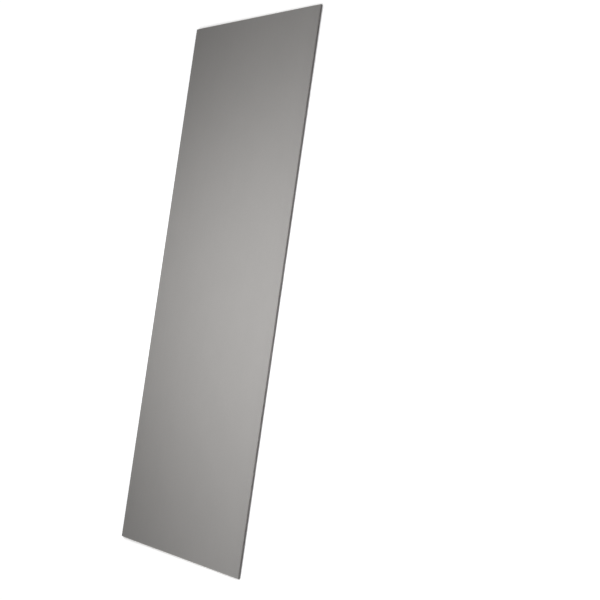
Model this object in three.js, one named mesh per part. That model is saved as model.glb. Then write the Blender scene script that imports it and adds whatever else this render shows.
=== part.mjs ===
// Gypsum wallboard sheet, 4 ft by 10 ft by 1/2 in, with tapered long edges, lying flat with its front up.
//
// Millimetres, +Z up. X runs across the width, Y along the length and Z through the thickness.
// The origin is the middle of the back, so the sheet lies on the plane Z = 0.
//
// The sheet is a gypsum core set between two papers. The face paper covers the front, turns round both
// long edges and folds onto the back as a flap. The back paper laps over the two flaps and stops a little
// short of the edges. At the two cut ends core and papers are sawn off flush, and the core is bare.

import * as THREE from "three";

// Sheet
const BOARD_WIDTH = 1219.2;
const BOARD_LENGTH = 3048;
const BOARD_THICKNESS = 12.7; // in the field, between the two tapers

// Taper: the shallow ramp along each long edge of the front, which holds the joint tape and compound
const TAPER_WIDTH = 60;
const TAPER_DEPTH = 1.8; // what the front has dropped by at the edge
const KNEE_LENGTH = 16; // the soft bend between the field and the ramp

// Papers
const FACE_PAPER_THICKNESS = 0.33;
const BACK_PAPER_THICKNESS = 0.3;
const BACK_PAPER_MARGIN = 6; // from each long edge to the back paper
const PAPER_LAP = 20; // how far the back paper lies over each flap

// Radii of the core where the face paper turns round it
const FRONT_TURN_RADIUS = 1.3;
const BACK_TURN_RADIUS = 0.9;

// Facets
const KNEE_STEPS = 8;
const TURN_STEPS = 8;

// Finishes
const FACE_PAPER = new THREE.MeshStandardMaterial({
  color: 0xaeaca8,
  roughness: 0.85,
  metalness: 0,
});
const BACK_PAPER = new THREE.MeshStandardMaterial({
  color: 0xa39c8f,
  roughness: 0.92,
  metalness: 0,
});
const GYPSUM = new THREE.MeshStandardMaterial({
  color: 0xd0cbb5,
  roughness: 0.96,
  metalness: 0,
});

// Half of the line that the face paper follows, as points in X and Z: from the knee on the front, down the
// ramp, round the long edge and along the back to the end of the flap. The line lies `depth` inside the
// paper's outer surface, so depth 0 is that surface and the paper's thickness is the surface of the core.
function wrapLine(depth) {
  const slope = Math.atan2(TAPER_DEPTH, TAPER_WIDTH);
  const edgeX = BOARD_WIDTH / 2;
  const flapZ = BACK_PAPER_THICKNESS;
  const knee = new THREE.Vector2(
    edgeX - TAPER_WIDTH - depth * Math.tan(slope / 2),
    BOARD_THICKNESS - depth,
  );
  const downRamp = new THREE.Vector2(Math.cos(slope), -Math.sin(slope));

  // The turn from the ramp to the edge is tangent to both, and so is the turn from the edge to the back.
  const frontOuter = FRONT_TURN_RADIUS + FACE_PAPER_THICKNESS;
  const frontCentre = new THREE.Vector2(
    edgeX - frontOuter,
    BOARD_THICKNESS -
      (TAPER_WIDTH - frontOuter) * Math.tan(slope) -
      frontOuter / Math.cos(slope),
  );
  const backOuter = BACK_TURN_RADIUS + FACE_PAPER_THICKNESS;
  const backCentre = new THREE.Vector2(edgeX - backOuter, flapZ + backOuter);

  const kneeCurve = new THREE.QuadraticBezierCurve(
    knee.clone().sub(new THREE.Vector2(KNEE_LENGTH / 2, 0)),
    knee,
    knee.clone().addScaledVector(downRamp, KNEE_LENGTH / 2),
  );
  const frontTurn = new THREE.EllipseCurve(
    frontCentre.x,
    frontCentre.y,
    frontOuter - depth,
    frontOuter - depth,
    Math.PI / 2 - slope,
    0,
    true,
  );
  const backTurn = new THREE.EllipseCurve(
    backCentre.x,
    backCentre.y,
    backOuter - depth,
    backOuter - depth,
    0,
    -Math.PI / 2,
    true,
  );
  const flapEnd = new THREE.Vector2(flapEndX(), flapZ + depth);
  return [
    ...kneeCurve.getPoints(KNEE_STEPS),
    ...frontTurn.getPoints(TURN_STEPS),
    ...backTurn.getPoints(TURN_STEPS),
    flapEnd,
  ];
}

// Where each flap ends on the back, measured from the middle of the sheet.
function flapEndX() {
  return BOARD_WIDTH / 2 - BACK_PAPER_MARGIN - PAPER_LAP;
}

// The same line from the end of the left flap, over the whole front, to the end of the right flap.
function fullWrapLine(depth) {
  const right = wrapLine(depth);
  const left = right.map((p) => new THREE.Vector2(-p.x, p.y)).reverse();
  return [...left, ...right];
}

// A closed outline in X and Z, run out along the whole length of the sheet.
function runLengthwise(outline) {
  return new THREE.ExtrudeGeometry(new THREE.Shape(outline), {
    depth: BOARD_LENGTH,
    bevelEnabled: false,
  });
}

// Core: inside the face paper all round, with a shallow rebate on the back for each flap.
function gypsumCore() {
  const backOfField = [
    new THREE.Vector2(flapEndX(), BACK_PAPER_THICKNESS),
    new THREE.Vector2(-flapEndX(), BACK_PAPER_THICKNESS),
  ];
  return runLengthwise([...fullWrapLine(FACE_PAPER_THICKNESS), ...backOfField]);
}

// Face paper: one sheet from flap to flap.
function facePaper() {
  const outside = fullWrapLine(0);
  const inside = fullWrapLine(FACE_PAPER_THICKNESS).reverse();
  return runLengthwise([...outside, ...inside]);
}

// Back paper: a flat sheet between the two margins.
function backPaper() {
  const edgeX = BOARD_WIDTH / 2 - BACK_PAPER_MARGIN;
  return runLengthwise([
    new THREE.Vector2(-edgeX, 0),
    new THREE.Vector2(edgeX, 0),
    new THREE.Vector2(edgeX, BACK_PAPER_THICKNESS),
    new THREE.Vector2(-edgeX, BACK_PAPER_THICKNESS),
  ]);
}

const sheet = new THREE.Group();
for (const [name, geometry, material] of [
  ["gypsum_core", gypsumCore(), GYPSUM],
  ["face_paper", facePaper(), FACE_PAPER],
  ["back_paper", backPaper(), BACK_PAPER],
]) {
  const piece = new THREE.Mesh(geometry, material);
  piece.name = name;
  sheet.add(piece);
}

// The outlines were drawn upright and run out along +Z: this turns them to stand in X and Z, centred on Y.
sheet.rotation.x = Math.PI / 2;
sheet.position.y = BOARD_LENGTH / 2;

export default sheet;
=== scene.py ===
"""Dresses a tapered-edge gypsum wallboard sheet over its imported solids.

The sheet lies on its back with its front up: X runs across the width, Y along the length and Z through
the thickness, in metres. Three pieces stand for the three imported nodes, each built again with a finer
surface on the same section: the gypsum core with its two sawn ends, the face paper that turns round both
long edges, and the back paper that laps over its flaps. The papers' cut edges are frayed as their meshes
are drawn. Geometry Nodes ripple the papers, roughen and pit the sawn gypsum, and make the loose fibres and
crumbs along the two ends.
"""

import logging
import math
from collections.abc import Callable, Iterable, Sequence
from dataclasses import dataclass, field
from enum import Enum, IntEnum

import bmesh
import bpy
import numpy as np
from mathutils import Matrix, Vector


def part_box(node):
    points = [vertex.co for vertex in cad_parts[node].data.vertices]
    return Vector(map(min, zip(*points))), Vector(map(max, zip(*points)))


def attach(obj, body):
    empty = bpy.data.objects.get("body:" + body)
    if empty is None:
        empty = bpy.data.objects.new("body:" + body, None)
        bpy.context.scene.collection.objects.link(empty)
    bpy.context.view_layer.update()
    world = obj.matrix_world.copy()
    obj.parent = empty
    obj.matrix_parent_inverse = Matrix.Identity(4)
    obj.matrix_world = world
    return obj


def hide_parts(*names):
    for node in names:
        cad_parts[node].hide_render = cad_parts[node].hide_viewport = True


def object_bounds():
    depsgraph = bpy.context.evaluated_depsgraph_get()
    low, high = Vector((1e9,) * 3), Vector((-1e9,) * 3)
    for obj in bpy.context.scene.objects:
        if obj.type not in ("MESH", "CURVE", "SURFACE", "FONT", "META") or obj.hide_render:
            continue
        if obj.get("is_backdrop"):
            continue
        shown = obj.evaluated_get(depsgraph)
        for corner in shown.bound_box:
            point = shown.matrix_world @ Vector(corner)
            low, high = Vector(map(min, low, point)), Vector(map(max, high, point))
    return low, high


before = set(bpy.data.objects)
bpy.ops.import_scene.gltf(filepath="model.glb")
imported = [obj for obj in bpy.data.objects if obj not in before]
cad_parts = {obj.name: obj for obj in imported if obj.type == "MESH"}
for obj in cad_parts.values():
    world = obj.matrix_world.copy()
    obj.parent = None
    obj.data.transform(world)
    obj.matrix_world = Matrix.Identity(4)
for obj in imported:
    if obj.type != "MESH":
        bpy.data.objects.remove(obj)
cad_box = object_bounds()

MM = 0.001
CREASE = math.radians(40)
BODY = "root"

log = logging.getLogger("wallboard")

Point = tuple[float, float, float]
Colour = tuple[float, float, float, float]
Socket = bpy.types.NodeSocket
Number = float | int | bool
Value = Number | str | Sequence[float] | bpy.types.Material
Feed = Value | Socket
Octaves = tuple[float, float]  # a noise's number of finer octaves, and how strong they are
Span = tuple[float, float]  # where a ramp starts, and where it ends

WHITE: Colour = (1.0, 1.0, 1.0, 1.0)


class Slot(Enum):
    """The record's material slots."""

    GYPSUM = "gypsum"
    FACE_PAPER = "face_paper"
    BACK_PAPER = "back_paper"


class CutEnd(Enum):
    """The two sawn ends, by the sign of the Y that they face."""

    NEAR = -1
    FAR = 1


class Run(IntEnum):
    """The runs of the section's right half. Each number is the place along the line where the run starts."""

    FIELD = 0
    KNEE = 1
    RAMP = 2
    FRONT_TURN = 3
    EDGE = 4
    BACK_TURN = 5
    FLAP = 6


# ---------------------------------------------------------------------------------------------------
# Sizes and section
# ---------------------------------------------------------------------------------------------------

# The fewest steps that still draw the shape of each run.
LEAST_STEPS = {
    Run.FIELD: 8,
    Run.KNEE: 8,
    Run.RAMP: 4,
    Run.FRONT_TURN: 6,
    Run.EDGE: 4,
    Run.BACK_TURN: 6,
    Run.FLAP: 3,
}


@dataclass(frozen=True)
class BoardSize:
    """Overall sizes of the sheet in metres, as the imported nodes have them."""

    half_width: float  # from the middle to a long edge
    half_length: float  # from the middle to a cut end
    thickness: float  # of the whole sheet in the field
    face_paper: float  # thickness of the face paper
    back_paper: float  # thickness of the back paper
    back_half_width: float  # from the middle to an edge of the back paper

    @classmethod
    def from_frame(cls) -> "BoardSize":
        """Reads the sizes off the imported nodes.

        Returns:
            The sizes of the sheet.
        """
        _, face_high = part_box("face_paper")
        _, core_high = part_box("gypsum_core")
        _, back_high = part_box("back_paper")
        return cls(
            half_width=face_high.x,
            half_length=face_high.y,
            thickness=face_high.z,
            face_paper=face_high.z - core_high.z,
            back_paper=back_high.z,
            back_half_width=back_high.x,
        )


@dataclass(frozen=True)
class Stretch:
    """One run of the section's line, between two corners."""

    points: Callable[[np.ndarray], np.ndarray]  # gives the point in X and Z at each fraction from 0 to 1
    length: float  # its length in metres


def bend(start: np.ndarray, corner: np.ndarray, end: np.ndarray) -> Stretch:
    """Makes a soft bend, tangent to the two lines that meet at a corner.

    Args:
        start: First point.
        corner: Where the two lines meet.
        end: Last point.

    Returns:
        The run.
    """

    def points(f: np.ndarray) -> np.ndarray:
        """Returns the points at these fractions of the bend."""
        return np.outer((1 - f) ** 2, start) + np.outer(2 * f * (1 - f), corner) + np.outer(f**2, end)

    return Stretch(points, float(np.linalg.norm(end - start)))


def straight(start: np.ndarray, end: np.ndarray) -> Stretch:
    """Makes a straight run, as a bend whose corner lies halfway."""
    return bend(start, (start + end) / 2, end)


def turn(centre: np.ndarray, radius: float, first: float, last: float) -> Stretch:
    """Makes a round turn.

    Args:
        centre: Its centre.
        radius: Its radius.
        first: Angle of the first point.
        last: Angle of the last point.

    Returns:
        The run.
    """

    def points(f: np.ndarray) -> np.ndarray:
        """Returns the points at these fractions of the turn."""
        angles = first + (last - first) * f
        return centre + radius * np.stack([np.cos(angles), np.sin(angles)], axis=1)

    return Stretch(points, abs(last - first) * radius)


@dataclass(frozen=True)
class WrapSection:
    """The line that the face paper follows round the sheet, in X and Z."""

    size: BoardSize  # the sheet's overall sizes
    taper_width: float = 60 * MM  # from the knee to the long edge
    taper_depth: float = 1.8 * MM  # what the front has dropped by at the edge
    knee_length: float = 16 * MM  # the soft bend between field and ramp
    front_turn: float = 1.3 * MM  # radius of the core between ramp and edge
    back_turn: float = 0.9 * MM  # radius of the core between edge and back
    lap: float = 20 * MM  # how far the back paper lies over each flap

    @property
    def slope(self) -> float:
        """The ramp's angle to the field, in radians."""
        return math.atan2(self.taper_depth, self.taper_width)

    @property
    def flap_end(self) -> float:
        """Where a flap ends on the back, from the middle."""
        return self.size.back_half_width - self.lap

    @property
    def front_centre(self) -> np.ndarray:
        """The centre of the turn between ramp and edge.

        Returns:
            The centre, in X and Z.
        """
        outer = self.front_turn + self.size.face_paper
        drop = (self.taper_width - outer) * math.tan(self.slope) + outer / math.cos(self.slope)
        return np.array([self.size.half_width - outer, self.size.thickness - drop])

    @property
    def back_centre(self) -> np.ndarray:
        """The centre of the turn between edge and back."""
        outer = self.back_turn + self.size.face_paper
        return np.array([self.size.half_width - outer, self.size.back_paper + outer])

    def stretches(self, depth: float) -> list[Stretch]:
        """Splits the right half of the line into its runs, from the middle of the front to the flap's end.

        Args:
            depth: How far inside the paper's outer surface the line lies.

        Returns:
            The runs, in the order of Run.
        """
        size, slope = self.size, self.slope
        top = size.thickness - depth
        knee = np.array([size.half_width - self.taper_width - depth * math.tan(slope / 2), top])
        downhill = np.array([math.cos(slope), -math.sin(slope)])
        knee_start = knee - np.array([self.knee_length / 2, 0.0])
        knee_end = knee + downhill * self.knee_length / 2
        front_radius = self.front_turn + size.face_paper - depth
        back_radius = self.back_turn + size.face_paper - depth
        ramp_end = self.front_centre + front_radius * np.array([math.sin(slope), math.cos(slope)])
        edge_top = self.front_centre + np.array([front_radius, 0.0])
        edge_foot = self.back_centre + np.array([back_radius, 0.0])
        flap_start = self.back_centre - np.array([0.0, back_radius])
        quarter = math.pi / 2
        return [
            straight(np.array([0.0, top]), knee_start),
            bend(knee_start, knee, knee_end),
            straight(knee_end, ramp_end),
            turn(self.front_centre, front_radius, quarter - slope, 0.0),
            straight(edge_top, edge_foot),
            turn(self.back_centre, back_radius, 0.0, -quarter),
            straight(flap_start, np.array([self.flap_end, flap_start[1]])),
        ]

    def line(self, depth: float, spacing: float) -> tuple[np.ndarray, np.ndarray]:
        """Draws the whole line, from the left flap's end over the front to the right flap's end.

        Args:
            depth: How far inside the paper's outer surface the line lies.
            spacing: The largest step between points, in metres.

        Returns:
            The points in X and Z, and each point's place along the line, below 0 on the left.
        """
        stretches = self.stretches(depth)
        points, places = [], []
        for run, stretch in zip(Run, stretches):
            steps = max(LEAST_STEPS[run], math.ceil(stretch.length / spacing))
            fractions = np.arange(steps) / steps
            points.append(stretch.points(fractions))
            places.append(run + fractions)
        points.append(stretches[-1].points(np.array([1.0])))
        places.append(np.array([float(len(stretches))]))
        right, place = np.concatenate(points), np.concatenate(places)
        left = right[:0:-1] * np.array([-1.0, 1.0])
        return np.concatenate([left, right]), np.concatenate([-place[:0:-1], place])


# ---------------------------------------------------------------------------------------------------
# Mesh building
# ---------------------------------------------------------------------------------------------------


@dataclass(frozen=True)
class Outline:
    """A closed loop across the sheet."""

    points: np.ndarray  # its points in X and Z
    places: np.ndarray  # a rising parameter for each point, alike on outlines that are joined
    period: float  # what the parameter rises by in one whole round
    weight: np.ndarray | float  # how much each point may be roughened, from 0 to 1


@dataclass(frozen=True)
class Ring:
    """An outline that stands in a mesh."""

    first: int  # index of its first vertex
    outline: Outline  # the outline

    def __len__(self) -> int:
        """Returns the number of vertices."""
        return len(self.outline.points)

    def index(self, step: int) -> int:
        """Returns the vertex after this many steps round the ring."""
        return self.first + step % len(self)

    def place(self, step: int) -> float:
        """Returns the parameter after this many steps round the ring."""
        rounds, rest = divmod(step, len(self))
        return float(self.outline.places[rest]) + rounds * self.outline.period


@dataclass
class MeshDraft:
    """Vertices and faces of one piece."""

    points: list[np.ndarray] = field(default_factory=list)  # arrays of vertices
    weights: list[np.ndarray] = field(default_factory=list)  # how much each may be roughened
    faces: list[tuple[int, ...]] = field(default_factory=list)  # faces as vertex indices
    count: int = 0  # how many vertices there are so far

    def add_points(self, outline: np.ndarray, y: float, weight: np.ndarray | float) -> int:
        """Adds vertices that stand across the sheet.

        Args:
            outline: Their places in X and Z, one row each.
            y: Where they stand along the sheet.
            weight: How much they may be roughened, from 0 to 1.

        Returns:
            The index of the first.
        """
        first, count = self.count, len(outline)
        self.points.append(np.column_stack([outline[:, 0], np.full(count, y), outline[:, 1]]))
        self.weights.append(np.broadcast_to(np.asarray(weight, float), (count,)))
        self.count += count
        return first

    def add_ring(self, outline: Outline, y: float) -> Ring:
        """Adds an outline as a loop of vertices.

        Args:
            outline: The outline.
            y: Where it stands along the sheet.

        Returns:
            The ring.
        """
        return Ring(self.add_points(outline.points, y, outline.weight), outline)

    def join_rings(self, near: Ring, far: Ring) -> None:
        """Covers the band between two rings, whatever their numbers of vertices.

        Args:
            near: The ring at the lower Y.
            far: The ring at the higher Y.
        """
        if len(near) == len(far):
            for i in range(len(near)):
                self.faces.append((near.index(i), near.index(i + 1), far.index(i + 1), far.index(i)))
            return
        i = j = 0
        while i < len(near) or j < len(far):
            near_next = near.place(i + 1) if i < len(near) else math.inf
            far_next = far.place(j + 1) if j < len(far) else math.inf
            if near_next <= far_next:
                self.faces.append((near.index(i), near.index(i + 1), far.index(j)))
                i += 1
            else:
                self.faces.append((near.index(i), far.index(j + 1), far.index(j)))
                j += 1

    def join_chain(self, rings: Sequence[Ring]) -> None:
        """Covers the bands between rings that follow each other along the sheet.

        Args:
            rings: The rings, by rising Y.
        """
        for near, far in zip(rings, rings[1:]):
            self.join_rings(near, far)

    def to_object(self, name: str) -> bpy.types.Object:
        """Makes a linked mesh object with its faces turned outwards.

        Args:
            name: The piece's name.

        Returns:
            The object, with the weights in the point attribute "rough".
        """
        mesh = bpy.data.meshes.new(name)
        mesh.from_pydata(np.concatenate(self.points).tolist(), [], self.faces)
        rough = mesh.attributes.new("rough", "FLOAT", "POINT")
        rough.data.foreach_set("value", np.concatenate(self.weights).astype(np.float32))
        shell = bmesh.new()
        shell.from_mesh(mesh)
        bmesh.ops.recalc_face_normals(shell, faces=shell.faces)
        shell.to_mesh(mesh)
        shell.free()
        mesh.shade_smooth()
        return link_object(name, mesh)


def link_object(name: str, data: bpy.types.ID) -> bpy.types.Object:
    """Makes an object and links it to the scene.

    Args:
        name: Its name.
        data: Its mesh, lamp or camera.

    Returns:
        The object.
    """
    made = bpy.data.objects.new(name, data)
    bpy.context.scene.collection.objects.link(made)
    return made


# ---------------------------------------------------------------------------------------------------
# Node trees
# ---------------------------------------------------------------------------------------------------

NOISE_MIDDLE = 0.5  # the value that a noise lies around
SMALLEST_BOWL = 0.3  # radius of the smallest bowls, as a share of the largest
BOWL_CURVE = 0.6  # power of a bowl's depth. Below 1 its floor is wide and its rim steep


class TreeBuilder:
    """Puts nodes into a tree and links them, for geometry trees, shader groups and materials alike."""

    def __init__(self, tree: bpy.types.NodeTree) -> None:
        """Keeps the tree.

        Args:
            tree: The node tree to build in.
        """
        self.tree = tree

    def add(self, kind: str, settings: dict[str, object] | None = None, **inputs: Feed) -> bpy.types.Node:
        """Adds a node.

        Args:
            kind: The node's type name.
            settings: Its own properties, such as an operation or a data type.
            **inputs: What it is fed, as feed takes it.

        Returns:
            The node.
        """
        node = self.tree.nodes.new(kind)
        for key, value in (settings or {}).items():
            setattr(node, key, value)
        self.feed(node, **inputs)
        return node

    def feed(self, node: bpy.types.Node, **inputs: Feed) -> None:
        """Sets or links the inputs of a node.

        Args:
            node: The node.
            **inputs: A value, or a socket to link from, for each input by name, with _ for a space. A name
                like in0 means the input of that number.
        """
        for key, value in inputs.items():
            if key.startswith("in") and key[2:].isdigit():
                socket = node.inputs[int(key[2:])]
            else:
                socket = next(s for s in node.inputs if s.name == spaced(key) and s.enabled)
            if isinstance(value, Socket):
                self.tree.links.new(value, socket)
            else:
                socket.default_value = value

    def math(self, operation: str, *values: Feed, clamp: bool = False) -> Socket:
        """Adds a Math node.

        Args:
            operation: What it does.
            *values: Its inputs, in order.
            clamp: Whether the result is kept from 0 to 1.

        Returns:
            Its result.
        """
        settings = {"operation": operation, "use_clamp": clamp}
        return self.add("ShaderNodeMath", settings, **numbered(values)).outputs[0]

    def weighted(self, base: float, *terms: tuple[Feed, float]) -> Socket:
        """Adds up values, each times its weight.

        Args:
            base: What the sum starts from.
            *terms: Each value with its weight.

        Returns:
            The sum.
        """
        total: Feed = base
        for value, weight in terms:
            total = self.math("MULTIPLY_ADD", value, weight, total)
        return total

    def product(self, *factors: Feed) -> Socket:
        """Multiplies numbers.

        Args:
            *factors: Two or more numbers.

        Returns:
            Their product.
        """
        total, *rest = factors
        for factor in rest:
            total = self.math("MULTIPLY", total, factor)
        return total

    def vector_math(self, operation: str, *values: Feed) -> Socket:
        """Adds a Vector Math node.

        Args:
            operation: What it does.
            *values: Its vector inputs, in order.

        Returns:
            Its vector result.
        """
        node = self.add("ShaderNodeVectorMath", {"operation": operation}, **numbered(values))
        return node.outputs["Vector"]

    def scale(self, vector: Feed, factor: Feed) -> Socket:
        """Scales a vector by one number.

        Args:
            vector: The vector.
            factor: The number.

        Returns:
            The scaled vector.
        """
        node = self.add("ShaderNodeVectorMath", {"operation": "SCALE"}, in0=vector, Scale=factor)
        return node.outputs["Vector"]

    def split(self, vector: Feed) -> bpy.types.NodeOutputs:
        """Returns the outputs X, Y and Z of a vector."""
        return self.add("ShaderNodeSeparateXYZ", Vector=vector).outputs

    def join(self, x: Feed = 0.0, y: Feed = 0.0, z: Feed = 0.0) -> Socket:
        """Returns the vector of three numbers."""
        return self.add("ShaderNodeCombineXYZ", X=x, Y=y, Z=z).outputs[0]

    def ramp(self, value: Feed, span: Span, to: Span = (0.0, 1.0)) -> Socket:
        """Maps a range smoothly onto another.

        Args:
            value: What is mapped.
            span: Where the range starts and ends.
            to: What its start and its end become.

        Returns:
            The mapped value.
        """
        ends = {"From_Min": span[0], "From_Max": span[1], "To_Min": to[0], "To_Max": to[1]}
        node = self.add("ShaderNodeMapRange", {"interpolation_type": "SMOOTHSTEP"}, Value=value, **ends)
        return node.outputs["Result"]

    def mix_colour(self, factor: Feed, first: Feed, second: Feed) -> Socket:
        """Mixes two colours.

        Args:
            factor: 0 gives the first and 1 the second.
            first: A colour.
            second: A colour.

        Returns:
            The mixed colour.
        """
        node = self.add("ShaderNodeMix", {"data_type": "RGBA"}, in0=factor, in6=first, in7=second)
        return node.outputs[2]

    def noise(self, vector: Feed, scale: Feed, octaves: Octaves) -> Socket:
        """Adds a noise texture.

        Args:
            vector: Where it is read.
            scale: How many features there are in a metre.
            octaves: Its finer octaves.

        Returns:
            Its value, around NOISE_MIDDLE.
        """
        settings = {"Scale": scale, "Detail": octaves[0], "Roughness": octaves[1]}
        return self.add("ShaderNodeTexNoise", Vector=vector, **settings).outputs[0]

    def centred(self, value: Feed) -> Socket:
        """Maps a value from 0 to 1 onto -1 to 1."""
        return self.weighted(-1.0, (value, 2.0))

    def push(self, place: Feed, scale: Feed, reach: Feed, detail: float = 1.0) -> Socket:
        """Draws a vector from noise, which changes smoothly from place to place.

        Args:
            place: Where the noise is read.
            scale: How many features it has in a metre.
            reach: How long the vector is along each axis, at most half of this each way.
            detail: How many finer octaves the noise has.

        Returns:
            The vector.
        """
        noise = self.add("ShaderNodeTexNoise", Vector=place, Scale=scale, Detail=detail)
        middle = (NOISE_MIDDLE, NOISE_MIDDLE, NOISE_MIDDLE)
        return self.scale(self.vector_math("SUBTRACT", noise.outputs["Color"], middle), reach)

    def shaken(self, place: Feed, scale: Feed, reach: Feed, detail: float = 1.0) -> Socket:
        """Moves a place about by noise, as push draws it.

        Args:
            place: The place.
            scale: How many features the noise has in a metre.
            reach: How far the place is moved, at most half of this each way.
            detail: How many finer octaves the noise has.

        Returns:
            The moved place.
        """
        return self.vector_math("ADD", place, self.push(place, scale, reach, detail))

    def bowls(self, place: Feed, scale: Feed, radius: Feed, share: Feed) -> tuple[Socket, Socket]:
        """Scatters round bowls of mixed sizes, at most one in each cell of a pattern.

        Args:
            place: Where the pattern is read.
            scale: Cells in a metre.
            radius: Radius of the largest bowls, as a share of a cell.
            share: Which share of the cells holds one.

        Returns:
            The bowls' depth from 0 to 1, and a random number for each cell.
        """
        cells = self.add("ShaderNodeTexVoronoi", Vector=place, Scale=scale)
        lot = self.split(cells.outputs["Color"])
        size = self.math("MULTIPLY", radius, self.weighted(SMALLEST_BOWL, (lot["Y"], 1 - SMALLEST_BOWL)))
        inside = self.math("SUBTRACT", 1.0, self.math("DIVIDE", cells.outputs["Distance"], size), clamp=True)
        chosen = self.math("LESS_THAN", lot["X"], share)
        return self.math("MULTIPLY", self.math("POWER", inside, BOWL_CURVE), chosen), lot["Z"]


def numbered(values: Iterable[Feed]) -> dict[str, Feed]:
    """Names values in0, in1 and so on, as TreeBuilder.feed takes them."""
    return {f"in{i}": value for i, value in enumerate(values)}


def spaced(key: str) -> str:
    """Returns an input's name as the node has it, with spaces for _."""
    return key.replace("_", " ")


class NamedTree:
    """A node tree with named inputs."""

    def __init__(
        self, name: str, kind: str, common: dict[str, tuple[str, Value | None]], own: dict[str, Number]
    ) -> None:
        """Starts the tree.

        Args:
            name: The tree's name.
            kind: The tree's type name.
            common: The inputs that all trees of its kind have, each with its socket type and first value.
            own: The first values of its own inputs, by name with _ for a space.
        """
        self.group = bpy.data.node_groups.new(name, kind)
        types = {bool: "NodeSocketBool", int: "NodeSocketInt", float: "NodeSocketFloat"}
        inputs = common | {spaced(key): (types[type(value)], value) for key, value in own.items()}
        for label, (socket_type, value) in inputs.items():
            socket = self.group.interface.new_socket(label, in_out="INPUT", socket_type=socket_type)
            if value is not None:
                socket.default_value = value
        self.build = TreeBuilder(self.group)
        self.enter = self.group.nodes.new("NodeGroupInput")
        self.leave = self.group.nodes.new("NodeGroupOutput")

    def given(self, label: str) -> Socket:
        """Returns the socket that brings a named input."""
        return self.enter.outputs[label]


class GeometryTool(NamedTree):
    """A Geometry Nodes tree that turns one mesh into a finished one."""

    def __init__(self, name: str, **inputs: Number) -> None:
        """Starts the tree.

        Args:
            name: The tree's name.
            **inputs: The first values of its own inputs, by name with _ for a space. Every tool also has
                the geometry, the sheet's two corners, the material and a seed.
        """
        common = {
            "Geometry": ("NodeSocketGeometry", None),
            "Low Corner": ("NodeSocketVector", tuple(cad_box[0])),
            "High Corner": ("NodeSocketVector", tuple(cad_box[1])),
            "Material": ("NodeSocketMaterial", None),
            "Seed": ("NodeSocketInt", 1),
        }
        super().__init__(name, "GeometryNodeTree", common, inputs)
        self.group.interface.new_socket("Geometry", in_out="OUTPUT", socket_type="NodeSocketGeometry")

    def random(self, low: Point, high: Point, step: int = 0) -> Socket:
        """Draws a random vector for each point, from the tool's seed.

        Args:
            low: Lowest values.
            high: Highest values.
            step: Added to the seed, so that draws differ.

        Returns:
            The vector.
        """
        seed = self.build.math("ADD", self.given("Seed"), float(step))
        kind = {"data_type": "FLOAT_VECTOR"}
        return self.build.add("FunctionNodeRandomValue", kind, Min=low, Max=high, Seed=seed).outputs[0]

    def close(self, geometry: Socket) -> None:
        """Realizes the instances, keeps them between the sheet's corners and sets the material.

        Args:
            geometry: What the tree has made.
        """
        build = self.build
        real = build.add("GeometryNodeRealizeInstances", Geometry=geometry)
        place = build.add("GeometryNodeInputPosition").outputs[0]
        above = build.vector_math("MAXIMUM", place, self.given("Low Corner"))
        inside = build.vector_math("MINIMUM", above, self.given("High Corner"))
        kept = build.add("GeometryNodeSetPosition", Geometry=real.outputs[0], Position=inside)
        material = self.given("Material")
        dressed = build.add("GeometryNodeSetMaterial", Geometry=kept.outputs[0], Material=material)
        build.feed(self.leave, Geometry=dressed.outputs[0])

    def run(self, piece: bpy.types.Object, material: bpy.types.Material, **values: Number) -> None:
        """Runs the tree on a piece and keeps the result as its plain mesh.

        Args:
            piece: The mesh object.
            material: The finish that it gets.
            **values: What the named inputs are set to, with _ for a space.
        """
        modifier = piece.modifiers.new(self.group.name, "NODES")
        modifier.node_group = self.group
        named = {spaced(key): value for key, value in values.items()} | {"Material": material}
        for item in self.group.interface.items_tree:
            if item.in_out == "INPUT" and item.name in named:
                modifier[item.identifier] = named[item.name]
        bpy.context.view_layer.update()
        evaluated = piece.evaluated_get(bpy.context.evaluated_depsgraph_get())
        made = bpy.data.meshes.new_from_object(evaluated)
        piece.modifiers.remove(modifier)
        old, piece.data = piece.data, made
        bpy.data.meshes.remove(old)
        made.name = piece.name
        made.materials.clear()
        made.materials.append(material)
        made.polygons.foreach_set("material_index", [0] * len(made.polygons))
        made.set_sharp_from_angle(angle=CREASE)


# ---------------------------------------------------------------------------------------------------
# Shader groups
# ---------------------------------------------------------------------------------------------------

ROLLER_DRAG = 0.012  # squeezes coordinates along Y, which draws the noise out into streaks
FIBRE_LAYERS = ((8.0, 0.16), (71.0, 0.24), (-52.0, 0.2))  # each layer's turn in degrees, and its squeeze
STRAND = 0.11  # half a fibre's width, as a share of a cell
CLOUD_OCTAVES: Octaves = (4.0, 0.55)
STREAK_OCTAVES: Octaves = (3.0, 0.6)
FELT_OCTAVES: Octaves = (2.0, 0.6)
SWIRL_DETAIL = 2.0  # finer octaves of the noise that swirls the fibres
FELT_WEIGHT = 1.2  # of the fine felt between the fibres
MATTED_WEIGHT = 0.7  # of the fibres themselves
FELT_MIDDLE = 0.88  # what the sum of the two lies around
RAGGED_SCALE = 2.6  # features of a fleck's ragged rim in one cell
WEAR_OCTAVES: Octaves = (5.0, 0.68)
NEARNESS = 0.3  # what lying close to an edge adds to the noise that picks the rubbed places
RUBBED: Span = (0.68, 0.84)  # where in that sum the rubbing sets in, and where it is full
WEAR_FADE = 0.5  # power by which the rubbing fades from the edge inwards


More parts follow.
